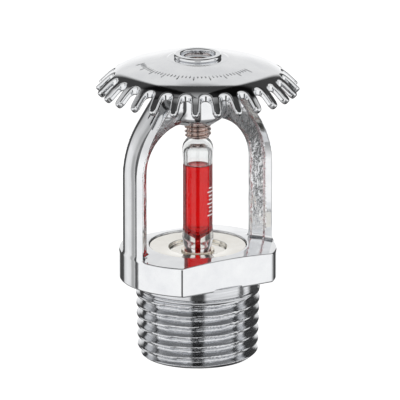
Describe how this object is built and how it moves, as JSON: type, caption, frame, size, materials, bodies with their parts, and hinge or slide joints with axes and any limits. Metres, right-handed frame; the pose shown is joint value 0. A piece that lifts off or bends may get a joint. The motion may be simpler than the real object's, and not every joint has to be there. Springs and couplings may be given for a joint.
{
  "type": "fire sprinkler head",
  "caption": "Upright glass-bulb fire sprinkler head: threaded inlet, wrench boss, two-arm frame, red liquid bulb and domed toothed deflector.",
  "frame": {"origin": "centre of the inlet end face, at the bottom of the pipe thread", "axes": "+Z along the water axis from the inlet to the deflector; the two frame arms lie along +X and -X; the wrench flats face +Y and -Y"},
  "size_m": [0.0344, 0.0344, 0.0524],
  "materials": {
    "frame_chrome": "bright chrome plate, polished outside, cast texture on the inner faces",
    "deflector_chrome": "bright chrome plate over pressed sheet",
    "screw_bronze": "turned, slightly pink bronze",
    "bulb_glass": "clear fire-polished glass",
    "red_liquid": "clear red liquid",
    "button_bronze": "turned bronze",
    "coated_disc": "thin cream fluoropolymer coat over a nickel spring disc",
    "ptfe_seal": "white PTFE film"
  },
  "bodies": {
    "frame_assembly": {"frame": "frame_chrome", "deflector": "deflector_chrome"},
    "bulb": {"glass_bulb": "bulb_glass", "bulb_liquid": "red_liquid"},
    "screw": {"load_screw": "screw_bronze"},
    "valve": {"button": "button_bronze", "spring_disc": "coated_disc", "seat_gasket": "ptfe_seal"}
  },
  "joints": [
    {"name": "bulb_lift", "type": "slide", "parent": "frame_assembly", "child": "bulb", "axis": [0, 0, 1], "range_m": [0, 0.00206]},
    {"name": "screw_turn", "type": "hinge", "parent": "bulb", "child": "screw", "pos_m": [0, 0, 0.0379], "axis": [0, 0, 1], "range_deg": [0, 990.01]},
    {"name": "valve_lift", "type": "slide", "parent": "frame_assembly", "child": "valve", "axis": [0, 0, 1], "range_m": [0, 0.00206]}
  ],
  "couplings": [
    {"joint": "screw_turn", "follows": "bulb_lift", "rad_per_m": 8377.6},
    {"joint": "valve_lift", "follows": "bulb_lift", "ratio": 1}
  ]
}
